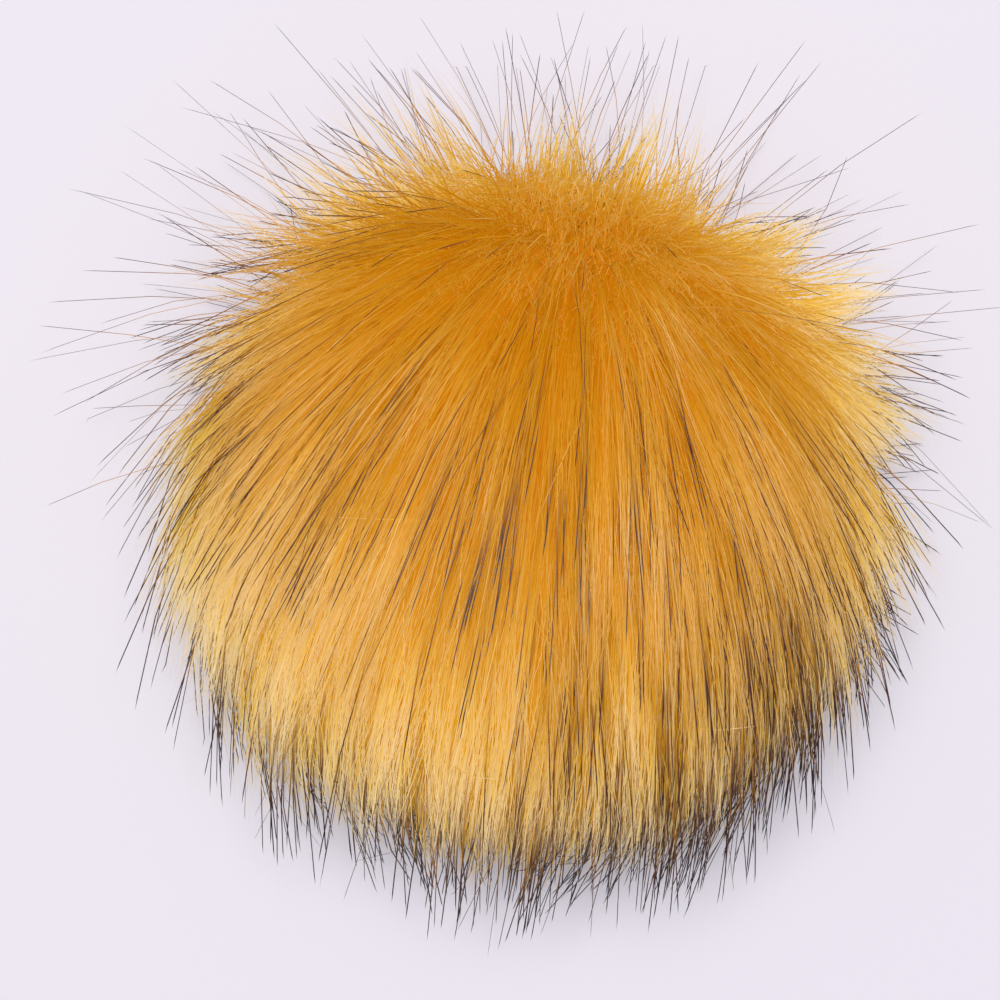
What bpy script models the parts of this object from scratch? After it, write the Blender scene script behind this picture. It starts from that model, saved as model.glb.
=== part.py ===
"""A faux-fur pom pom: a disc of long-pile fur fabric, gathered by its edge into a ball.

Metres, +Z up. The origin is the middle of the drawn-in base, which lies flat on the surface.
The pile parts at a crown on the ball's upper side, stands up there, and is combed from it to all
sides, down over the ball to the surface. The ball is one solid: fabric and matted pile in the
middle, divided into three-sided cells, and out of each cell one lock of pile.
"""

import math
import random

import bmesh
import bpy
from mathutils import Matrix, Quaternion, Vector, noise
from mathutils.bvhtree import BVHTree

# The ball of fabric, and the lower part of its pile, which mats into a thick felt over it
BALL_RADIUS = 0.036
BASE_RADIUS = 0.0125  # the drawn-in opening, flat on the surface
BALL_CENTRE = Vector((0, 0, math.sqrt(BALL_RADIUS**2 - BASE_RADIUS**2)))
SURFACE = -BALL_CENTRE.z  # the height it rests on, seen from the ball's centre
FELT = 0.32  # how much the felt adds to the ball, as a share, once it clears the surface
FELT_CLEAR = 0.024  # the height of the fabric where it does

# The cells
CELL = 0.0097  # how far apart their corners are
CORNER_SHIFT = 0.16  # how unevenly the corners lie, as a share of a cell
BASE_CORNERS = 9  # round the base, which bears no lock
ROOT_GAP = 0.00035  # bare felt round each lock's root
GOLDEN_ANGLE = math.pi * (3 - math.sqrt(5))

# The lay of the pile
FUR_REACH = 0.066  # from the ball's centre to a lock's tip
CROWN = Vector((0.16, 0.92, 0.36)).normalized()
COMBED = math.radians(39)  # how far the tips are combed away from the crown, at most
STANDING = math.radians(38)  # nearer to the crown than this, the pile stands more than it lies
CLOSING = math.radians(80)  # and nearer than this to the far side, it closes again
ROOT_RISE = 0.009  # how high a lock stands straight up before it bends over
UNEVEN_REACH = 0.10  # soft differences in length from one side to another, as a share
PATCH = 0.030  # the size of such a side on the ball
UNEVEN_LOCK = 0.07  # differences from one lock to the next, as a share
UNEVEN_GIRTH = 0.15
STRAY = math.radians(4)  # how far a lock leans to a side of its own

# The skirt of shorter locks that lies on the surface round the base
SKIRT_REACH = 0.014  # how far the innermost of them reach past the base

# A lock's sections after its root: how far along, and its width and depth as shares of the root's
LOCK_SECTIONS = (
    # along, width, depth
    (0.24, 1.20, 0.96),
    (0.48, 1.12, 0.80),
    (0.70, 0.84, 0.58),
    (0.88, 0.46, 0.32),
)
# Where a lock would touch one that is there already, the girths and lengths it tries instead
SLIMMER = (0.9, 0.75, 0.62, 0.5, 0.4, 0.3)
SHORTER = (1.0, 0.88, 0.75, 0.6)
ROOM = 1.12  # a lock is tried this much thicker than it is made

FUR_COLOUR = (0.69, 0.34, 0.055, 1.0)  # golden, linear

chance = random.Random(7)


def clear_scene():
    for thing in list(bpy.data.objects):
        bpy.data.objects.remove(thing)


def fur_material():
    material = bpy.data.materials.new("golden_faux_fur")
    material.use_nodes = True
    shader = material.node_tree.nodes["Principled BSDF"]
    shader.inputs["Base Color"].default_value = FUR_COLOUR
    shader.inputs["Roughness"].default_value = 0.75
    shader.inputs["Metallic"].default_value = 0.0
    return material


def smooth_step(share):
    share = min(max(share, 0), 1)
    return share**2 * (3 - 2 * share)


def felted(place):
    """A place on the fabric, moved out to the felt's surface. Places are from the ball's centre."""
    clear = smooth_step((place.z - SURFACE) / FELT_CLEAR)
    return place * (1 + FELT * clear)


def any_direction():
    return Vector(chance.gauss(0, 1) for _ in range(3)).normalized()


def base_corners():
    """The corners of the cells that meet the base, in a ring on the surface."""
    for corner in range(BASE_CORNERS):
        turn = math.tau * corner / BASE_CORNERS
        yield Vector((math.cos(turn), math.sin(turn), 0)) * BASE_RADIUS + Vector((0, 0, SURFACE))


def ball_corners():
    """The other corners, spread evenly over the ball: each a little lower than the one before,
    and turned on from it by the golden angle. Then each is shifted a little."""
    base_angle = math.asin(BASE_RADIUS / BALL_RADIUS)
    lowest = -math.cos(base_angle + 0.75 * CELL / BALL_RADIUS)
    area = math.tau * BALL_RADIUS**2 * (1 - lowest)
    count = round(area / (CELL**2 * math.sin(math.radians(60))))
    for corner in range(count):
        up = 1 - (1 - lowest) * (corner + 0.5) / count
        turn = GOLDEN_ANGLE * corner
        level = math.sqrt(1 - up**2)
        out = Vector((math.cos(turn) * level, math.sin(turn) * level, up))
        shift = any_direction() * CELL * CORNER_SHIFT
        yield (out * BALL_RADIUS + shift).normalized() * BALL_RADIUS


def celled_ball():
    """The felted ball without its locks, in three-sided cells, and the round base."""
    ball = bmesh.new()
    for corner in [*base_corners(), *ball_corners()]:
        ball.verts.new(corner)
    bmesh.ops.convex_hull(ball, input=ball.verts)
    level = SURFACE + ROOT_GAP
    low_cells = [cell for cell in ball.faces if all(c.co.z < level for c in cell.verts)]
    base = bmesh.ops.dissolve_faces(ball, faces=low_cells, use_verts=False)["region"][0]
    for corner in ball.verts:
        corner.co = felted(corner.co)
    return ball, [cell for cell in ball.faces if cell is not base]


def combed_direction(out):
    """Where the tip of a lock rooted in direction out points, seen from the ball's centre."""
    angle = CROWN.angle(out)
    turn = COMBED * smooth_step(angle / STANDING) * smooth_step((math.pi - angle) / CLOSING)
    return Quaternion(CROWN.cross(out), turn) @ out


def tip_on_surface(root, tip, length):
    """The tip of a lock that would end below the surface. The nearer it is rooted to the base,
    the shorter it is, and the more it points straight away from the base."""
    away = Vector((root.x, root.y, 0))
    spread = min((away.length - BASE_RADIUS) / (BALL_RADIUS - BASE_RADIUS), 1)
    shortest = BASE_RADIUS + SKIRT_REACH
    furthest = math.sqrt(length**2 - SURFACE**2)
    aside = Vector((tip.x, tip.y, 0)) / length
    aim = away.normalized().lerp(aside, spread**2)
    reach = shortest + (furthest - shortest) * spread
    return aim.normalized() * reach + Vector((0, 0, SURFACE))


class Lock:
    """A lock of pile, as it will be drawn out of its cell. Places are from the ball's centre."""

    def __init__(self, cell):
        self.cell = cell
        self.root = cell.calc_center_median()
        self.out = self.root.normalized()
        self.length = FUR_REACH * (1 + UNEVEN_REACH * noise.noise(self.root / PATCH))
        self.length *= 1 + chance.uniform(-UNEVEN_LOCK, UNEVEN_LOCK)
        self.girth = 1 + chance.uniform(-UNEVEN_GIRTH, UNEVEN_GIRTH)
        side = any_direction().cross(self.out)
        self.stray = Quaternion(side, chance.uniform(-STRAY, STRAY))

    def tip(self, shorter=1.0):
        free = self.root.length + (self.length - self.root.length) * shorter
        tip = self.stray @ combed_direction(self.out) * free
        return tip if tip.z > SURFACE else tip_on_surface(self.root, tip, free)

    def sections(self, slimmer=1.0, shorter=1.0):
        """Its three-cornered sections, from above the root towards the tip. The middle line goes
        straight up from the root, then bends over to the tip."""
        tip = self.tip(shorter)
        top = self.root + self.out * ROOT_RISE
        top.z = max(top.z, SURFACE + ROOT_GAP)
        across = self.out.cross(tip - self.root).normalized()
        lean = across.cross(self.out)
        corners = [corner.co - self.root for corner in self.cell.verts]
        sections = []
        for along, width, depth in LOCK_SECTIONS:
            back = 1 - along
            place = self.root * back**2 + top * 2 * back * along + tip * along**2
            heading = (top - self.root) * back + (tip - top) * along
            wide = across * width * self.girth * slimmer
            deep = across.cross(heading).normalized() * depth * self.girth * slimmer
            section = [place + wide * c.dot(across) + deep * c.dot(lean) for c in corners]
            sections.append([Vector((c.x, c.y, max(c.z, SURFACE))) for c in section])
        return sections

    def outside(self, slimmer, shorter):
        """Its faces, to try it against other locks and the ball. The last ones meet at the tip."""
        rings = [[corner.co for corner in self.cell.verts], *self.sections(slimmer, shorter)]
        points = [point for ring in rings for point in ring] + [self.tip(shorter)]
        sides = len(rings[0])
        tip = len(points) - 1
        faces = []
        for a in range(tip):
            b = a + 1 if (a + 1) % sides else a + 1 - sides
            face = (a, b, min(b + sides, tip), min(a + sides, tip))
            faces.append(tuple(dict.fromkeys(face)))
        return BVHTree.FromPolygons(points, faces)

    def fit_among(self, others, ball_tree):
        """Makes the lock as thick and long as it can be without touching what is there. Only its
        lowest faces, which come first, meet the ball: at the cell and the bare felt round it."""
        own = {face.index for corner in self.cell.verts for face in corner.link_faces}
        lowest = len(self.cell.verts)
        for shorter in SHORTER:
            for slimmer in SLIMMER:
                shape = self.outside(slimmer * ROOM, shorter)
                touched = shape.overlap(ball_tree)
                if any(side >= lowest or face not in own for side, face in touched):
                    continue
                if not any(shape.overlap(other) for other in others):
                    self.girth *= slimmer
                    self.length = self.root.length + (self.length - self.root.length) * shorter
                    return shape
        return None

    def grow(self, ball):
        """Draws the cell out through the lock's sections, to a point."""
        cell = self.cell
        sections, tip = self.sections(), self.tip()
        for section in sections:
            cell = bmesh.ops.extrude_discrete_faces(ball, faces=[cell])["faces"][0]
            for corner, place in zip(cell.verts, section):
                corner.co = place
        bmesh.ops.poke(ball, faces=[cell])["verts"][0].co = tip


def plan_locks(ball, cells):
    """One lock for each cell, from the surface up, so that each lies over those below it."""
    ball.faces.index_update()
    ball_tree = BVHTree.FromBMesh(ball)
    locks, shapes = [], []
    for cell in sorted(cells, key=lambda cell: cell.calc_center_median().z):
        lock = Lock(cell)
        shape = lock.fit_among(shapes, ball_tree)
        if shape:
            locks.append(lock)
            shapes.append(shape)
    return locks


def gather_ball():
    ball, cells = celled_ball()
    bmesh.ops.inset_individual(ball, faces=cells, thickness=ROOT_GAP, use_even_offset=True)
    for lock in plan_locks(ball, cells):
        lock.grow(ball)
    bmesh.ops.transform(ball, matrix=Matrix.Translation(BALL_CENTRE), verts=ball.verts)
    bmesh.ops.recalc_face_normals(ball, faces=ball.faces)
    return ball


def add_fur_ball():
    mesh = bpy.data.meshes.new("fur_ball")
    ball = gather_ball()
    ball.to_mesh(mesh)
    ball.free()
    mesh.materials.append(fur_material())
    fur_ball = bpy.data.objects.new("fur_ball", mesh)
    bpy.context.scene.collection.objects.link(fur_ball)


clear_scene()
add_fur_ball()
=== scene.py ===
import math

import bpy
import numpy as np
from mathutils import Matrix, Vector, noise
from mathutils.kdtree import KDTree


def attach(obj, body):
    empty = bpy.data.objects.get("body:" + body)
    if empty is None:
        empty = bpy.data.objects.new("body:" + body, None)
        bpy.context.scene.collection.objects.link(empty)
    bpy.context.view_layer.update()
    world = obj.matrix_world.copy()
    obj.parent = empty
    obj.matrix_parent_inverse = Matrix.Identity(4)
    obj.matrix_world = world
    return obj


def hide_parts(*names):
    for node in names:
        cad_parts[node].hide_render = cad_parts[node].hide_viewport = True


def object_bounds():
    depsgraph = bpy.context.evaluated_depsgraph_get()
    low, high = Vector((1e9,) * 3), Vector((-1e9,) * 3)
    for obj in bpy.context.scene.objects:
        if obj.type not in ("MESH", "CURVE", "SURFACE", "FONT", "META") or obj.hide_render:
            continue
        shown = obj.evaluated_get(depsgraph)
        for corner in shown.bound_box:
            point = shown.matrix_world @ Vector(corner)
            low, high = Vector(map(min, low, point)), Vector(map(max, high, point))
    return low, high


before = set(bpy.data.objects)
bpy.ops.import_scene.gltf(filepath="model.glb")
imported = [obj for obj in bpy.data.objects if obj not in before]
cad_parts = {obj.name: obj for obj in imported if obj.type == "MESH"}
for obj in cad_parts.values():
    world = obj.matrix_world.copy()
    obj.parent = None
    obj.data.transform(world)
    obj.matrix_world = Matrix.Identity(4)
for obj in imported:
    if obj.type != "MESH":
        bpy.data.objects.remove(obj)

cad_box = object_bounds()


# ------------------------------------------------------------------------------------------
# The felted ball. A disc of knitted backing with long modacrylic pile, drawn together by a thread
# through its edge and filled. The lower half of the pile mats into a thick felt over it, which
# shows where the pile parts. Sizes are in metres, from the middle of the flat base.
# ------------------------------------------------------------------------------------------
BALL_RADIUS = 0.036  # fabric and roots
BASE_RADIUS = 0.0125  # the drawn-in opening, flat on the surface
BALL_CENTRE = np.array([0, 0, math.sqrt(BALL_RADIUS**2 - BASE_RADIUS**2)])
CROWN_SIDE = np.array([0.16, 0.92, 0.36])
CROWN = CROWN_SIDE / np.linalg.norm(CROWN_SIDE)  # the direction in which the pile parts
CROWN_SIZE = math.radians(40)
FELT = 0.45  # how much the felt adds to the ball, as a share, once it clears the surface
FELT_CLEAR = 0.014  # the height of the fabric where it does
CROWN_FELT = 0.06  # how much more it adds in the middle of the crown, where the pile stands
FELT_REST = 0.0004  # its underside is pressed flat just over the surface
LUMP_SIZE = 0.008  # how wide the felt dips between the locks
LUMP_DEPTH = 0.0022  # and how deep
STREAKS = 28  # to a radian round the crown, so that each is up to 1.9 mm wide
STREAK_TURN = 12  # a metre down from the crown counts as 12 radians, so that each is 3 mm long
STREAK_HEIGHT = 0.0004
DEEPEST_FELT = 0.7  # the cosine of the angle from the crown within which its colour is deepest
PALEST_FELT = -0.5  # and of the angle beyond which it is palest
COAT_LIFT = np.array([0, 0, 0.9])  # how far the shading of the whole coat leans upwards
TINY = 1e-9  # keeps what has no length from dividing by nothing


def add_node(nodes, kind, settings=None, **inputs):
    """Adds a node. Settings are its own properties, and inputs are its sockets by name, with _ for
    a space, or by number, as in _0: a value to set, or another node's output to link."""
    node = nodes.new(kind)
    for name, value in (settings or {}).items():
        setattr(node, name, value)
    for name, value in inputs.items():
        key = int(name[1:]) if name[1:].isdigit() else name.replace("_", " ")
        socket = node.inputs[key]
        if isinstance(value, bpy.types.NodeSocket):
            node.id_data.links.new(value, socket)
        else:
            socket.default_value = value
    return node


def linear(colour):
    """An sRGB hex colour as linear red, green, blue and alpha."""
    shares = [int(colour[i : i + 2], 16) / 255 for i in (1, 3, 5)]
    return (*(s / 12.92 if s <= 0.04045 else ((s + 0.055) / 1.055) ** 2.4 for s in shares), 1)


def colour_ramp(nodes, factor, *stops):
    """A blend between sRGB colours, each at its place."""
    ramp = add_node(nodes, "ShaderNodeValToRGB", Fac=factor)
    elements = ramp.color_ramp.elements
    for element in list(elements)[1:]:
        elements.remove(element)
    for i, (place, colour) in enumerate(stops):
        element = elements[0] if i == 0 else elements.new(place)
        element.position = place
        element.color = linear(colour)
    return ramp.outputs["Color"]


def deselect():
    bpy.ops.object.select_all(action="DESELECT")


def unit(vectors):
    return vectors / np.maximum(np.linalg.norm(vectors, axis=-1, keepdims=True), TINY)


def smooth_share(values, none, full):
    """How far the values have come from none to full, smoothly, from 0 to 1."""
    share = np.clip((values - none) / (full - none), 0, 1)
    return share**2 * (3 - 2 * share)


def from_crown(out):
    """The angle between each direction from the ball's centre and the crown's."""
    return np.arccos(np.clip(out @ CROWN, -1, 1))


def felt_radius(out):
    """The felt's radius in each direction from the ball's centre."""
    height = BALL_RADIUS * out[..., 2] + BALL_CENTRE[2]
    felt = FELT + CROWN_FELT * smooth_share(from_crown(out), CROWN_SIZE, 0)
    return BALL_RADIUS * (1 + felt * smooth_share(height, 0, FELT_CLEAR))


def coat_facing(places):
    """Which way the coat as a whole faces at each place: outwards, and leaning upwards."""
    return unit(places - BALL_CENTRE) + COAT_LIFT


def felt_material():
    """Matted modacrylic: dyed right through, dull, and streaked the way the pile is laid."""
    material = bpy.data.materials.new("matted_modacrylic")
    material.use_nodes = True
    nodes = material.node_tree.nodes
    place = add_node(nodes, "ShaderNodeTexCoord").outputs["Object"]
    from_centre = add_node(
        nodes, "ShaderNodeVectorMath", {"operation": "SUBTRACT"}, _0=place, _1=tuple(BALL_CENTRE)
    ).outputs[0]
    crown_up = add_node(
        nodes, "ShaderNodeVectorRotate", {"rotation_type": "EULER_XYZ", "invert": True},
        Vector=from_centre, Rotation=Vector(CROWN).to_track_quat("Z", "Y").to_euler(),
    ).outputs[0]
    sides = add_node(nodes, "ShaderNodeSeparateXYZ", Vector=crown_up).outputs
    round_crown = add_node(
        nodes, "ShaderNodeMath", {"operation": "ARCTAN2"}, _0=sides["Y"], _1=sides["X"]
    ).outputs[0]
    drawn_out = add_node(
        nodes, "ShaderNodeMath", {"operation": "MULTIPLY"}, _0=sides["Z"], _1=STREAK_TURN
    ).outputs[0]
    streak = add_node(nodes, "ShaderNodeCombineXYZ", X=round_crown, Y=drawn_out).outputs[0]
    streaks = add_node(
        nodes, "ShaderNodeTexNoise", Vector=streak, Scale=STREAKS, Detail=5, Roughness=0.6
    ).outputs["Fac"]
    length = add_node(
        nodes, "ShaderNodeVectorMath", {"operation": "LENGTH"}, _0=crown_up
    ).outputs["Value"]
    cosine = add_node(
        nodes, "ShaderNodeMath", {"operation": "DIVIDE"}, _0=sides["Z"], _1=length
    ).outputs[0]
    away = add_node(
        nodes, "ShaderNodeMapRange", Value=cosine, From_Min=DEEPEST_FELT, From_Max=PALEST_FELT
    ).outputs[0]
    deep = colour_ramp(nodes, streaks, (0.3, "#B06200"), (0.5, "#BA6E00"), (0.72, "#BE7600"))
    pale = colour_ramp(nodes, streaks, (0.3, "#B46E00"), (0.5, "#C08410"), (0.72, "#CC9A30"))
    colour = add_node(
        nodes, "ShaderNodeMix", {"data_type": "RGBA"}, Factor=away, _6=deep, _7=pale
    ).outputs[2]
    bump = add_node(
        nodes, "ShaderNodeBump", Height=streaks, Distance=STREAK_HEIGHT, Strength=0.5
    ).outputs[0]
    shader = nodes["Principled BSDF"]
    material.node_tree.links.new(colour, shader.inputs["Base Color"])
    material.node_tree.links.new(bump, shader.inputs["Normal"])
    shader.inputs["Roughness"].default_value = 0.9
    shader.inputs["Specular IOR Level"].default_value = 0.1
    return material


deselect()
bpy.ops.mesh.primitive_ico_sphere_add(subdivisions=6, radius=BALL_RADIUS, location=BALL_CENTRE)
felted_ball = bpy.context.object
felted_ball.name = "felted_ball"
bpy.ops.object.transform_apply(location=True, rotation=True, scale=True)
bpy.ops.object.mode_set(mode="EDIT")
bpy.ops.mesh.select_all(action="SELECT")
bpy.ops.mesh.bisect(
    plane_co=(0, 0, FELT_REST), plane_no=(0, 0, 1), use_fill=True, clear_inner=True
)
bpy.ops.object.mode_set(mode="OBJECT")
for corner in felted_ball.data.vertices:
    out = np.array(corner.co) - BALL_CENTRE
    corner.co = Vector(BALL_CENTRE + out * felt_radius(unit(out)) / BALL_RADIUS)
lumps = bpy.data.textures.new("felt_lumps", "CLOUDS")
lumps.noise_scale = LUMP_SIZE
matted = felted_ball.modifiers.new("matted", "DISPLACE")
matted.texture = lumps
matted.texture_coords = "GLOBAL"
matted.strength = LUMP_DEPTH
matted.mid_level = 0.5
bpy.ops.object.modifier_apply(modifier=matted.name)
for corner in felted_ball.data.vertices:
    corner.co.z = max(corner.co.z, FELT_REST)
bpy.ops.object.shade_smooth()
# Between the hairs it takes the light the way the whole coat does
facing = unit(coat_facing(np.array([corner.co for corner in felted_ball.data.vertices])))
felted_ball.data.normals_split_custom_set_from_vertices(facing.tolist())
felted_ball.data.materials.append(felt_material())
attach(felted_ball, "root")
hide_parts("fur_ball")


# ------------------------------------------------------------------------------------------
# The underfur. Fine crimped modacrylic fibres, deep orange at the root and pale gold at the tip,
# knitted into the backing and brushed away from the crown. They cling together in wisps, and the
# wisps in locks. Each strand stands for a few dozen fibres, and is a closed three-sided point.
# ------------------------------------------------------------------------------------------
LOCKS = 280
WISPS = 3000
UNDERFUR_STRANDS = 47000
UNDERFUR_PARTS = 5  # from the crown down, one mesh each
UNDERFUR_REACH = 0.060  # from the ball's centre to the tips
UNDERFUR_GIRTH = 0.00009  # half a strand's thickness
UNDERFUR_ALONG = np.array([0, 0.4, 0.75, 1])  # where a strand's sections are
UNDERFUR_TAPER = np.array([0.95, 1.05, 0.85, 0])  # and its thickness there, as a share
GOLDEN_ANGLE = math.pi * (3 - math.sqrt(5))
BASE_ANGLE = math.asin(BASE_RADIUS / BALL_RADIUS)
chance = np.random.default_rng(11)

# The lay of the pile
ROOT_DEPTH = 0.93  # where a strand starts, as a share of the felt's radius
ROOT_RISE = 0.008  # how high the pile stands straight up before it bends over
COMBED_BACK = math.radians(14)  # a strand's root lies this much nearer to the crown than its middle
COMBED_ON = math.radians(25)  # and its tip this much further from it, at most
STANDING = math.radians(38)  # nearer to the crown than this, the pile stands more than it lies
HANG = np.array([0, -0.45, -0.89])  # which way the lower pile hangs down
FRONT_HANG = 0.6  # how far the pile in front turns that way, as a share
BACK_STANDS = 0.75  # how much less the pile lies low beyond the crown, as a share
SIDE_STANDS = 0.65  # and low on the right side
LEFT_STANDS = 0.4  # the left side does so by this share of the right side's
# The partings round the edge: where each is, in degrees from +X, and how many degrees the hair on
# either side of it is moved aside
PARTINGS = ((2, 3.5), (26, 3), (54, 2.5), (97, 4), (150, 3.5), (169, 4.5))
PARTING_WIDTH = math.radians(8)

# The room it has
LONGEST = 0.0085  # how far past the locks of the CAD model a single hair may reach
ROOM = np.array(cad_box) + [[-LONGEST], [LONGEST]]
TOWARDS = 0.3  # a side of it shortens the hairs that point at least this much towards it
LOWEST = 0.0005  # how low a strand may lie over the surface
LOWEST_UNEVEN = 0.004  # how much higher than that others lie, at most
GIVING = 0.008  # how high above that they begin to give
PUSHED_OUT = 0.45  # how far they move out to the sides, as a share of how far they are pressed up

# Differences in length and lay, as shares
SIDE_UNEVEN = 0.08  # in length, from one side of the ball to another
BACK_LONGER = 0.04
LOCK_UNEVEN = 0.05
TUFT_UNEVEN = 0.06  # how much more so where the edge is ragged
WISP_UNEVEN = 0.035
SPARSE_SHARE = 0.6  # of the wisps at the upper left,
SPARSE_SHORT = 0.2  # which are this much shorter
FIBRE_LONGEST = 1.05
FIBRE_UNEVEN = 0.16
CROWN_UNEVEN = 0.24  # how much more so at the crown
FRONT_UNEVEN = 0.10  # and in front
CROWN_LONGER = 0.12
CROWN_SHORT = 0.15  # how much shorter the pile is in the middle of the crown
CROWN_STRAY = 0.4  # how far the crown's fibres stray, as a share of how far the others do
WILD_SHARE = 0.06  # of the fibres stray
WILD_STRAY = 2.5  # times as far

# Tones, from 0 for the deepest orange to 1 for the palest gold
CROWN_TONE = 0.05
AWAY_TONE = 0.76  # how much paler the pile is far from the crown
SIDE_TONE = 0.2  # and at the far left and right
LOCK_TONES = 0.08
PATCH_TONES = 0.18
WISP_TONES = 0.05
FIBRE_TONES = 0.05
BLEACHED_SHARE = 0.03  # of the fibres everywhere
BLEACHED_TONE = 0.3  # are this much paler,
EDGE_TONE = 0.35  # and round the edge all of them are,
BACK_EDGE_TONE = 0.45  # most of all at the back

# A strand's map and shading
STRAND_ON_MAP = 0.003  # how wide a strand is on the map
TONES_ON_MAP = (0.01, 0.98)  # the lowest and highest tone there
TURNED_ACROSS = 0.5  # how far its shading turns square to its length
ROUNDNESS = 0.15  # how much of its own roundness shows in its shading


def spread_evenly(count, uneven):
    """Directions from the ball's centre, spread evenly by the golden angle, then each shifted by a
    share of their spacing. None points through the base."""
    step = np.arange(count) + 0.5
    up = 1 - 2 * step / count
    turn = step * GOLDEN_ANGLE
    level = np.sqrt(1 - up**2)
    out = np.stack([np.cos(turn) * level, np.sin(turn) * level, up], axis=1)
    spacing = math.sqrt(4 * math.pi / count)
    out = unit(out + chance.normal(0, uneven * spacing, out.shape))
    return out[out[:, 2] > -math.cos(BASE_ANGLE)]


def combed(out, most):
    """Directions turned the way the pile is combed, by up to most. It lies away from the crown.
    Low on the ball it hangs down as well, and beyond the crown and low on the sides, most of all on
    the right, it stands out more than it lies. Its bounds are places on a ball of radius 1."""
    x, y, z = out[:, :1], out[:, 1:2], out[:, 2:]
    away = unit(out * (out @ CROWN)[:, None] - CROWN)
    down = unit(HANG - out * (out @ HANG)[:, None])
    hanging = FRONT_HANG * smooth_share(y, 0.35, -0.75)
    hanging += (1 - hanging) * smooth_share(z, 0.35, -0.15) * smooth_share(y, 0.5, -0.1)
    way = away * (1 - hanging) + down * hanging
    lying = 1 - BACK_STANDS * smooth_share(y, 0.1, 0.8) * smooth_share(z, 0.8, 0.4)
    sideways = smooth_share(x, 0.3, 0.8) * smooth_share(y, -0.75, -0.3)
    sideways += LEFT_STANDS * smooth_share(x, -0.4, -0.8) * smooth_share(y, -0.3, 0.1)
    lying *= 1 - SIDE_STANDS * sideways * smooth_share(z, 0.5, 0.1)
    lying *= smooth_share(from_crown(out), 0, STANDING)[:, None]
    turn = most * lying * np.linalg.norm(way, axis=1, keepdims=True)
    return np.cos(turn) * out + np.sin(turn) * unit(way)


def strayed(out, spread):
    """Directions that each lean a way of their own."""
    return unit(out + chance.normal(0, 1, out.shape) * spread)


def drawn_to(out, group, pull):
    """Directions that lean towards their group's."""
    return unit(out + pull * (group - out))


def parted(out):
    """Directions moved aside where the pile parts, round the ball's edge."""
    turn = np.arctan2(out[:, 1], out[:, 0])
    for parting, moved in np.radians(PARTINGS):
        aside = (turn - parting + np.pi) % (2 * np.pi) - np.pi
        turn = turn + moved * np.sign(aside) * np.exp(-((aside / PARTING_WIDTH) ** 2))
    level = np.linalg.norm(out[:, :2], axis=1)
    moved = np.stack([np.cos(turn) * level, np.sin(turn) * level, out[:, 2]], axis=1)
    return drawn_to(out, moved, smooth_share(out[:, 2:], 0.6, 0.3))


def at_edge(tip):
    """How near each tip is to the upper edge, as the picture shows it, from 0 to 1."""
    return smooth_share(tip[:, 1:2], -0.3, 0.2) * smooth_share(np.abs(tip[:, 2:]), 0.6, 0.1)


def unevenness(out, size, seed):
    """Soft noise from about -1 to 1 in each direction, in patches of that size on the ball."""
    shift = Vector((seed, seed * 1.7, seed * 2.9))
    return np.array([noise.noise(Vector(place) * BALL_RADIUS / size + shift) for place in out])


def nearest(out, groups):
    """For each direction, the number of the nearest group."""
    tree = KDTree(len(groups))
    for number, group in enumerate(groups):
        tree.insert(group, number)
    tree.balance()
    return np.array([tree.find(direction)[1] for direction in out])


def laid_on_surface(points):
    """Points from the ball's centre, one row for each strand, as places. What would hang below the
    surface lies just over it, at a height of the strand's own, and is pushed out to the sides."""
    points = points + BALL_CENTRE
    lowest = LOWEST + LOWEST_UNEVEN * chance.random((len(points), 1))
    soft = lowest + GIVING
    below = np.minimum(points[..., 2] - soft, 0)
    pressed = lowest + (soft - lowest) * np.exp(below / (soft - lowest))
    height = np.where(below < 0, pressed, points[..., 2])
    push = PUSHED_OUT * (height - points[..., 2])
    points[..., :2] += unit(points[..., :2] + TINY) * push[..., None]
    points[..., 2] = height
    return points


def room(tip):
    """How far a hair may reach in each direction, so that the pom pom keeps its size."""
    low, high = ROOM - BALL_CENTRE
    low[2] = -1  # no limit, because the surface bends what points down
    sides = np.where(tip < 0, low, high) / np.where(np.abs(tip) < TOWARDS, np.nan, tip)
    return np.nanmin(sides, axis=1)


def strand_lines(root, tip, reach, rise, bow, along):
    """The middle lines of strands: from the felt straight up, then over to the tip, each a little
    bowed. Root and tip are directions, and along is where the sections are."""
    reach = np.minimum(reach, room(tip))
    felt = felt_radius(root)[:, None]
    t = along[:, None]
    lines = (root * felt * ROOT_DEPTH)[:, None] * (1 - t) ** 2
    lines += (root * (felt * ROOT_DEPTH + rise))[:, None] * 2 * t * (1 - t)
    lines += (tip * reach[:, None])[:, None] * t**2
    lines += chance.normal(0, bow, (len(root), 1, 3)) * np.sin(np.pi * along)[:, None]
    return laid_on_surface(lines).clip(*ROOM)


def strand_faces(rings):
    """One strand's faces, as numbers of its corners: its end in the felt, the sides between its
    rings of three, and the sides up to its tip. With them goes where each corner is on the map:
    how far across, and at which section."""
    sides = ((0, 1), (1, 2), (2, 0))
    faces = [[2, 1, 0]]
    spots = [[(1, 0), (0.5, 0.01), (0, 0)]]  # on the map, that end is held open a little
    for ring in range(rings - 1):
        low, high = ring * 3, ring * 3 + 3
        for a, b in sides:
            faces.append([low + a, low + b, high + b, high + a])
            spots.append([(a, ring), (a + 1, ring), (a + 1, ring + 1), (a, ring + 1)])
    last = (rings - 1) * 3
    for a, b in sides:
        faces.append([last + a, last + b, rings * 3])
        spots.append([(a, rings - 1), (a + 1, rings - 1), (a + 0.5, rings)])
    return faces, np.concatenate([np.array(spot, float) for spot in spots])


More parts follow.
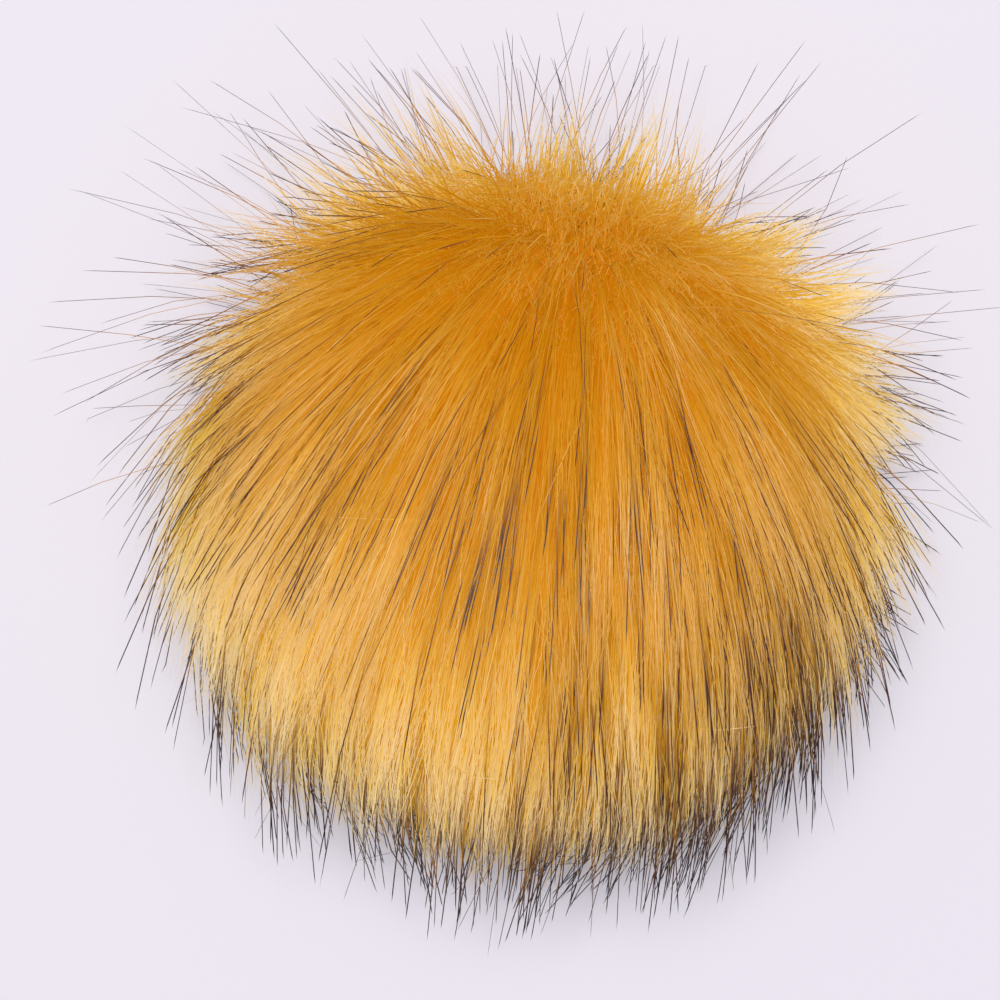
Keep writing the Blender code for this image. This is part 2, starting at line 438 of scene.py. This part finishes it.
def draw_strands(name, lines, girth, along, tone, material):
    """One mesh of closed three-sided strands. Lines are (strand, section, place) and girth is
    (strand, section), down to nothing at the last. The strands' map runs from tone to the right,
    and from the root at 0 up to the tip at 1."""
    count, sections, _ = lines.shape
    rings = sections - 1
    heading = unit(np.gradient(lines, axis=1))
    bend = np.cross(lines[:, 0] - BALL_CENTRE, lines[:, -1] - BALL_CENTRE) + TINY
    wide = unit(np.cross(heading, unit(bend)[:, None]))
    deep = np.cross(heading, wide)
    spin = chance.uniform(0, 2 * np.pi, (count, 1, 1)) + np.arange(3) * 2 * np.pi / 3
    ring_out = np.cos(spin)[..., None] * wide[:, :, None] + np.sin(spin)[..., None] * deep[:, :, None]
    corners = lines[:, :, None] + girth[:, :, None, None] * ring_out
    points = np.concatenate([corners[:, :rings].reshape(count, -1, 3), lines[:, -1:]], axis=1)

    faces, spots = strand_faces(rings)
    corner_of = np.concatenate(faces)
    sizes = np.array([len(face) for face in faces])
    starts = np.cumsum(sizes) - sizes
    strand = np.arange(count)[:, None]
    corner_numbers = strand * points.shape[1] + corner_of
    face_starts = strand * len(corner_of) + starts

    mesh = bpy.data.meshes.new(name)
    mesh.vertices.add(count * points.shape[1])
    mesh.vertices.foreach_set("co", points.astype(np.float32).ravel())
    mesh.loops.add(count * len(corner_of))
    mesh.loops.foreach_set("vertex_index", corner_numbers.astype(np.int32).ravel())
    mesh.polygons.add(count * len(faces))
    mesh.polygons.foreach_set("loop_start", face_starts.astype(np.int32).ravel())

    heights = np.interp(spots[:, 1], np.arange(sections), along)
    shares = tone[:, None] + spots[:, 0] * STRAND_ON_MAP
    fur_map = mesh.uv_layers.new(name="OFBake")
    grid = np.stack([shares, np.broadcast_to(heights, shares.shape)], axis=2)
    fur_map.uv.foreach_set("vector", grid.astype(np.float32).ravel())
    mesh.update(calc_edges=True)

    # Fine hair takes the light the way the whole coat does, not each strand for itself
    outward = coat_facing(points)
    heading = np.concatenate([np.repeat(heading[:, :rings], 3, axis=1), heading[:, -1:]], axis=1)
    outward -= TURNED_ACROSS * heading * np.sum(outward * heading, axis=2, keepdims=True)
    ring_out = np.concatenate([ring_out[:, :rings].reshape(count, -1, 3), outward[:, -1:]], axis=1)
    facing = unit(ROUNDNESS * ring_out + outward).reshape(-1, 3)
    mesh.polygons.foreach_set("use_smooth", np.ones(count * len(faces), bool))
    mesh.normals_split_custom_set_from_vertices(facing.tolist())
    mesh.materials.append(material)
    strands = bpy.data.objects.new(name, mesh)
    bpy.context.scene.collection.objects.link(strands)
    return strands


def underfur_material():
    """Dyed modacrylic, fine and crimped: silky, with a soft gloss along it. Deep orange at the
    root, where the dye bath took best, and pale gold to cream at the tip."""
    material = bpy.data.materials.new("dyed_modacrylic_underfur")
    material.use_nodes = True
    nodes = material.node_tree.nodes
    fur_map = add_node(nodes, "ShaderNodeUVMap", {"uv_map": "OFBake"}).outputs["UV"]
    shares = add_node(nodes, "ShaderNodeSeparateXYZ", Vector=fur_map).outputs
    deep = colour_ramp(
        nodes, shares["Y"], (0.0, "#AC5E00"), (0.6, "#B47000"), (0.85, "#BC8008"), (1.0, "#CA982C")
    )
    pale = colour_ramp(
        nodes, shares["Y"], (0.0, "#B87200"), (0.45, "#C89010"), (0.72, "#E6C05A"), (0.9, "#F0DAB0"),
        (1.0, "#DCCCBC"),
    )
    colour = add_node(
        nodes, "ShaderNodeMix", {"data_type": "RGBA"}, Factor=shares["X"], _6=deep, _7=pale
    ).outputs[2]
    shader = nodes["Principled BSDF"]
    material.node_tree.links.new(colour, shader.inputs["Base Color"])
    shader.inputs["Roughness"].default_value = 0.6
    shader.inputs["Specular IOR Level"].default_value = 0.03
    return material


lock_mid = spread_evenly(LOCKS, uneven=0.35)
lock_tip = strayed(combed(lock_mid, COMBED_ON), spread=0.10)
tufted = smooth_share(lock_tip[:, 1] + 0.45 * lock_tip[:, 0], -0.5, 0.1)  # where the edge is ragged
tufted *= smooth_share(lock_tip[:, 2], 0.7, 0.2)
lock_reach = 1 + SIDE_UNEVEN * unevenness(lock_mid, size=0.025, seed=3) + BACK_LONGER * lock_mid[:, 1]
lock_reach *= 1 + chance.uniform(-1, 1, len(lock_mid)) * (LOCK_UNEVEN + TUFT_UNEVEN * tufted)
lock_tone = chance.normal(0, LOCK_TONES, len(lock_mid))

wisp_mid = spread_evenly(WISPS, uneven=0.35)
wisp_lock = nearest(wisp_mid, lock_mid)
wisp_tip = strayed(combed(wisp_mid, COMBED_ON), spread=0.06)
wisp_tip = drawn_to(wisp_tip, lock_tip[wisp_lock], pull=0.45 + 0.2 * at_edge(wisp_tip))
wisp_reach = lock_reach[wisp_lock] * (1 + chance.normal(0, WISP_UNEVEN, len(wisp_mid)))
sparse = smooth_share(0.66 * wisp_tip[:, 1] - 0.75 * wisp_tip[:, 0], 0.5, 0.95)  # at the upper left
sparse *= smooth_share(wisp_tip[:, 2], 0.6, 0.2) * (chance.random(len(wisp_mid)) < SPARSE_SHARE)
wisp_reach *= 1 - SPARSE_SHORT * sparse
wisp_tone = CROWN_TONE + AWAY_TONE * smooth_share(from_crown(wisp_mid), 0.7, 2.4)
wisp_tone += SIDE_TONE * np.abs(wisp_tip[:, 0]) ** 3
wisp_tone += PATCH_TONES * unevenness(wisp_mid, size=0.008, seed=5)
wisp_tone += lock_tone[wisp_lock] + chance.normal(0, WISP_TONES, len(wisp_mid))

fibre_mid = spread_evenly(UNDERFUR_STRANDS, uneven=0.5)
fibre_wisp = nearest(fibre_mid, wisp_mid)
off_crown = smooth_share(from_crown(fibre_mid), STANDING * 0.2, STANDING)
fibre_stray = CROWN_STRAY + (1 - CROWN_STRAY) * off_crown
fibre_stray *= chance.gamma(shape=1.5, scale=0.045, size=len(fibre_mid))
fibre_stray[chance.random(len(fibre_mid)) < WILD_SHARE] *= WILD_STRAY
fibre_tip = strayed(combed(fibre_mid, COMBED_ON), fibre_stray[:, None])
fibre_tip = parted(drawn_to(fibre_tip, wisp_tip[fibre_wisp], pull=0.4 + 0.35 * at_edge(fibre_tip)))
near_crown = np.clip(fibre_mid @ CROWN, 0, 1)
in_front = smooth_share(fibre_tip[:, 1], -0.2, -0.8)
fibre_uneven = FIBRE_UNEVEN + CROWN_UNEVEN * near_crown + FRONT_UNEVEN * in_front
fibre_reach = FIBRE_LONGEST + CROWN_LONGER * near_crown - fibre_uneven * chance.random(len(fibre_mid))
fibre_reach *= UNDERFUR_REACH * wisp_reach[fibre_wisp]
in_crown = smooth_share(from_crown(fibre_mid), STANDING * 0.8, STANDING * 0.3)
fibre_reach *= 1 - CROWN_SHORT * in_crown * smooth_share(fibre_mid[:, 2], 0.05, 0.3)
fibre_tone = wisp_tone[fibre_wisp] + chance.normal(0, FIBRE_TONES, len(fibre_mid))
fibre_tone += BLEACHED_TONE * (chance.random(len(fibre_mid)) < BLEACHED_SHARE)
edge_tone = EDGE_TONE + BACK_EDGE_TONE * smooth_share(fibre_tip[:, 1], -0.6, 0.1)
edge_tone *= 0.5 + 0.5 * smooth_share(fibre_tip[:, 2], -0.5, -0.1)  # less so underneath
fibre_tone += edge_tone * smooth_share(fibre_tip[:, 2], 0.62, 0.12)
fibre_lines = strand_lines(
    combed(fibre_mid, -COMBED_BACK), fibre_tip, fibre_reach,
    rise=ROOT_RISE, bow=0.0012, along=UNDERFUR_ALONG,
)
fibre_girth = UNDERFUR_GIRTH * chance.uniform(0.75, 1.25, (len(fibre_mid), 1)) * UNDERFUR_TAPER

underfur = underfur_material()
crown_first = np.argsort(-(fibre_mid @ CROWN), kind="stable")
for part, members in enumerate(np.array_split(crown_first, UNDERFUR_PARTS)):
    strands = draw_strands(
        f"underfur_{part + 1}", fibre_lines[members], fibre_girth[members], UNDERFUR_ALONG,
        fibre_tone[members].clip(*TONES_ON_MAP), underfur,
    )
    strands.visible_shadow = False  # light passes on through such fine fibres
    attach(strands, "root")
    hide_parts("fur_ball")


# ------------------------------------------------------------------------------------------
# The fluff round the crown. Where the pile parts, the shortest underfur fibres, which are matted
# elsewhere, stand up out of the felt, in the deepest orange.
# ------------------------------------------------------------------------------------------
FLUFF_STRANDS = 34000  # over the whole ball, of which only those round the crown are drawn
FLUFF_SHORTEST = 0.002
FLUFF_LONGEST = 0.0055
FLUFF_TAPER = np.array([1.1, 1, 0.8, 0])

fluff_mid = spread_evenly(FLUFF_STRANDS, uneven=0.6)
fluff_mid = fluff_mid[from_crown(fluff_mid) < CROWN_SIZE]
fluff_reach = felt_radius(fluff_mid) + chance.uniform(FLUFF_SHORTEST, FLUFF_LONGEST, len(fluff_mid))
fluff_lines = strand_lines(
    fluff_mid, strayed(fluff_mid, spread=0.05), fluff_reach, rise=0.002, bow=0, along=UNDERFUR_ALONG
)
fluff_girth = UNDERFUR_GIRTH * chance.uniform(0.9, 1.1, (len(fluff_mid), 1)) * FLUFF_TAPER
crown_fluff = draw_strands(
    "crown_fluff", fluff_lines, fluff_girth, UNDERFUR_ALONG,
    chance.uniform(0.01, 0.15, len(fluff_mid)), underfur,
)
crown_fluff.visible_shadow = False  # as with the rest of the underfur
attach(crown_fluff, "root")
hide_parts("fur_ball")


# ------------------------------------------------------------------------------------------
# The guard hairs. Coarser, straighter modacrylic hairs that stand past the underfur, gold like it
# below and tipped dark brown to black by a second dye bath. In loose groups, they streak the ball
# and bristle round its edge, where more of their dark part shows.
# ------------------------------------------------------------------------------------------
GUARD_HAIRS = 11000  # as many as there would be if they were thickest everywhere
GUARD_GROUPS = 1500
GUARD_REACH = 0.068
GUARD_GIRTH = 0.00011  # half a hair's thickness
GUARD_ALONG = np.array([0, 0.25, 0.5, 0.74, 0.97, 1])
GUARD_TAPER = np.array([1, 1, 1, 1, 0.8, 0])
FINER_ABOVE = 0.3  # how much finer they are round the upper edge, as a share
HAIR_STRAY = 0.028
EDGE_STRAY = 0.09  # how much further they stray round the upper edge
HAIR_PULL = 0.12  # how far they lean towards their group
EDGE_PULL = 0.18  # and how much further round the edge

# How thickly they grow, as shares
BARE_SHARE = 0.04
BODY_SHARE = 0.32
EDGE_SHARE = 0.18
LESS_ABOVE = 0.08  # on the edge
MORE_IN_FRONT = 0.28
MORE_RIGHT = 0.18
MORE_UNDER = 0.14  # low at the back
PATCHY = 0.8

# Their tone: at 0 half of a hair is dark, and at 1 only its tip is
SHORT_DARK = 0.9
LONG_DARK = 0.7  # how much lower it is round the edge
LESS_DARK_ABOVE = 0.35  # but for this much at the top
HAIR_TONES = 0.14


def guard_hair_material():
    """Modacrylic guard hair, drawn thicker and glossier than the underfur. Its outer part is
    over-dyed: brown where the second bath stopped, nearly black at the point."""
    material = bpy.data.materials.new("tipped_modacrylic_guard_hair")
    material.use_nodes = True
    nodes = material.node_tree.nodes
    fur_map = add_node(nodes, "ShaderNodeUVMap", {"uv_map": "OFBake"}).outputs["UV"]
    shares = add_node(nodes, "ShaderNodeSeparateXYZ", Vector=fur_map).outputs
    long_tips = colour_ramp(
        nodes, shares["Y"], (0.0, "#B06400"), (0.50, "#C49444"), (0.62, "#6A4C3E"), (0.74, "#34282C"),
        (1.0, "#1C1A20"),
    )
    short_tips = colour_ramp(
        nodes, shares["Y"], (0.0, "#B87000"), (0.74, "#C88A18"), (0.83, "#7E4A20"), (0.9, "#502E24"),
        (1.0, "#38262A"),
    )
    colour = add_node(
        nodes, "ShaderNodeMix", {"data_type": "RGBA"}, Factor=shares["X"], _6=long_tips, _7=short_tips
    ).outputs[2]
    shader = nodes["Principled BSDF"]
    material.node_tree.links.new(colour, shader.inputs["Base Color"])
    shader.inputs["Roughness"].default_value = 0.45
    shader.inputs["Specular IOR Level"].default_value = 0.15
    return material


def guard_share(mid, aim, rim):
    """How thickly the guard hairs grow at each root. Round the edge they are thickest in front and
    on the right, and over the body at the upper left and the lower right. The extra dark hair at
    the upper left is partly real dark-tipped hair and partly painted shade. The crown is bare."""
    x, y, z = aim.T
    on_rim = EDGE_SHARE - LESS_ABOVE * y + MORE_IN_FRONT * np.maximum(-y, 0)
    on_rim += MORE_RIGHT * x * smooth_share(y, 0.5, 0)
    on_rim += MORE_UNDER * smooth_share(z, 0, -0.35) * smooth_share(y, 0, 0.5)
    # Over the body, dark hair gathers at the upper left: partly real dark-tipped hair, partly painted
    # shade
    on_body = np.minimum(1 - 0.4 * x + 0.8 * y - 2.8 * x * y, 2)
    on_body *= BODY_SHARE * smooth_share(from_crown(mid), 0.2, 1.1) * (1 - 0.6 * x**2)
    share = (BARE_SHARE + on_body) * (1 - rim) + on_rim * rim
    patches = 1 + PATCHY * unevenness(mid, size=0.010, seed=21)
    return share * (smooth_share(from_crown(mid), 0.15, 0.5) * patches)


group_mid = spread_evenly(GUARD_GROUPS, uneven=0.5)
group_lock = nearest(group_mid, lock_mid)
group_tip = strayed(combed(group_mid, COMBED_ON), spread=0.08)
group_tip = drawn_to(group_tip, lock_tip[group_lock], pull=0.4)

hair_mid = spread_evenly(GUARD_HAIRS, uneven=0.6)
aim = combed(hair_mid, COMBED_ON)
rim = smooth_share(aim[:, 2] + 0.08 * aim[:, 1] + 0.08 * np.abs(aim[:, 0]), 0.44, 0.04)
share = guard_share(hair_mid, aim, rim)
kept = chance.random(len(hair_mid)) < share
hair_mid, aim, rim = hair_mid[kept], aim[kept], rim[kept]
hair_group = nearest(hair_mid, group_mid)
hair_stray = HAIR_STRAY + EDGE_STRAY * rim * smooth_share(hair_mid[:, 1], -0.4, 0.6)
hair_tip = strayed(aim, hair_stray[:, None])
hair_tip = drawn_to(hair_tip, group_tip[hair_group], HAIR_PULL + EDGE_PULL * rim[:, None])
hair_tip = parted(hair_tip)
hair_reach = chance.uniform(0.8, 0.96, len(hair_mid))
hair_reach += rim * chance.uniform(0.06, 0.12, len(hair_mid))
hair_reach *= GUARD_REACH * lock_reach[group_lock[hair_group]]
hair_reach *= 1 + 0.08 * np.clip(hair_mid @ CROWN, 0, 1)
hair_lines = strand_lines(
    combed(hair_mid, -COMBED_BACK), hair_tip, hair_reach,
    rise=ROOT_RISE * 1.2, bow=0.0009, along=GUARD_ALONG,
)
hair_girth = GUARD_GIRTH * chance.uniform(0.75, 1.2, (len(hair_mid), 1)) * GUARD_TAPER
hair_girth *= 1 - FINER_ABOVE * smooth_share(hair_tip[:, 1:2], -0.3, 0.5)
at_top = smooth_share(hair_tip[:, 1], 0, 0.8)
hair_tone = SHORT_DARK - (LONG_DARK - LESS_DARK_ABOVE * at_top) * rim
hair_tone += chance.normal(0, HAIR_TONES, len(hair_mid))
guard_hair = guard_hair_material()
guard_hairs = draw_strands(
    "guard_hairs", hair_lines, hair_girth, GUARD_ALONG, hair_tone.clip(*TONES_ON_MAP), guard_hair
)
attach(guard_hairs, "root")
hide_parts("fur_ball")


# ------------------------------------------------------------------------------------------
# The stray hairs. The longest and thinnest guard hairs, which the brush has pulled out of the
# lay. They stand well past the rest, each its own way, and most of them round the upper edge.
# ------------------------------------------------------------------------------------------
STRAY_HAIRS = 1500  # as many as there would be if they were thickest everywhere
STRAY_REACH = 0.071
STRAY_LONGER_ABOVE = 0.25
STRAY_SHARE = 0.06
STRAY_MORE_ABOVE = 0.36  # round the upper edge

stray_mid = spread_evenly(STRAY_HAIRS, uneven=0.8)
above = smooth_share(stray_mid[:, 1], -0.3, 0.7)
share = STRAY_SHARE + STRAY_MORE_ABOVE * above * (stray_mid[:, 2] < 0.5)
stray_mid = stray_mid[chance.random(len(stray_mid)) < share]
stray_tip = strayed(combed(stray_mid, COMBED_ON * 0.75), spread=0.09)
stray_reach = STRAY_REACH * chance.uniform(0.88, 1.06, len(stray_mid))
stray_reach *= 1 + STRAY_LONGER_ABOVE * smooth_share(stray_tip[:, 1], -0.4, 0.6)
stray_lines = strand_lines(
    combed(stray_mid, -COMBED_BACK), stray_tip, stray_reach,
    rise=ROOT_RISE * 1.3, bow=0.0014, along=GUARD_ALONG,
)
stray_girth = GUARD_GIRTH * chance.uniform(0.3, 0.6, (len(stray_mid), 1)) * GUARD_TAPER
stray_hairs = draw_strands(
    "stray_hairs", stray_lines, stray_girth, GUARD_ALONG, chance.uniform(0.1, 0.8, len(stray_mid)),
    guard_hair,
)
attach(stray_hairs, "root")
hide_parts("fur_ball")


# ------------------------------------------------------------------------------------------
# The surface, the light and the view. A pale matt board under soft even light from nearly
# straight above, seen from straight above with +Y at the picture's top.
# ------------------------------------------------------------------------------------------
BOARD_SIDE = 6.0
CLOUDS = 3  # to a metre of board
ROOM_LIGHT = 0.32
SOFTBOX_AT = (-0.03, 0.14, 1.3)
SOFTBOX_SIZE = 0.7
SOFTBOX_WATTS = 17
LIT_AT = Vector((0, 0, 0.03))
PIXEL_MM = 1 / 6
PICTURE_SIDE = 1000  # pixels
MIDDLE_AT = (525, 515)  # the pixel where the ball's middle is
WIDEST_AT = 0.036  # the height at which the scale holds
LENS = 0.100
SENSOR = 0.036


def board_material():
    """A matt laminate board, off-white with a breath of lilac, and too even to show its grain."""
    material = bpy.data.materials.new("matt_white_board")
    material.use_nodes = True
    nodes = material.node_tree.nodes
    place = add_node(nodes, "ShaderNodeTexCoord").outputs["Object"]
    cloudy = add_node(
        nodes, "ShaderNodeTexNoise", Vector=place, Scale=CLOUDS, Detail=2
    ).outputs["Fac"]
    colour = colour_ramp(nodes, cloudy, (0.35, "#D9D5DE"), (0.65, "#DBD7E0"))
    shader = nodes["Principled BSDF"]
    material.node_tree.links.new(colour, shader.inputs["Base Color"])
    shader.inputs["Roughness"].default_value = 0.8
    shader.inputs["Specular IOR Level"].default_value = 0.2
    return material


deselect()
bpy.ops.mesh.primitive_plane_add(size=BOARD_SIDE, location=(0, 0, 0))
board = bpy.context.object
board.name = "board"
board.data.materials.append(board_material())

world = bpy.data.worlds.new("soft_room")
bpy.context.scene.world = world
world.use_nodes = True
world.node_tree.nodes["Background"].inputs["Color"].default_value = linear("#F4F2FA")
world.node_tree.nodes["Background"].inputs["Strength"].default_value = ROOM_LIGHT

deselect()
bpy.ops.object.light_add(type="AREA", location=SOFTBOX_AT)
softbox = bpy.context.object
softbox.name = "softbox"
softbox.data.shape = "DISK"
softbox.data.size = SOFTBOX_SIZE
softbox.data.energy = SOFTBOX_WATTS
softbox.rotation_euler = (LIT_AT - softbox.location).to_track_quat("-Z", "Y").to_euler()

picture_width = PICTURE_SIDE * PIXEL_MM / 1000
distance = LENS / SENSOR * picture_width
camera_x = (PICTURE_SIDE / 2 - MIDDLE_AT[0]) * PIXEL_MM / 1000
camera_y = (MIDDLE_AT[1] - PICTURE_SIDE / 2) * PIXEL_MM / 1000
deselect()
bpy.ops.object.camera_add(location=(camera_x, camera_y, WIDEST_AT + distance), rotation=(0, 0, 0))
camera = bpy.context.object
camera.data.lens = LENS * 1000
camera.data.sensor_width = SENSOR * 1000
camera.data.clip_start = 0.01
bpy.context.scene.camera = camera
bpy.context.scene.view_settings.view_transform = "Standard"
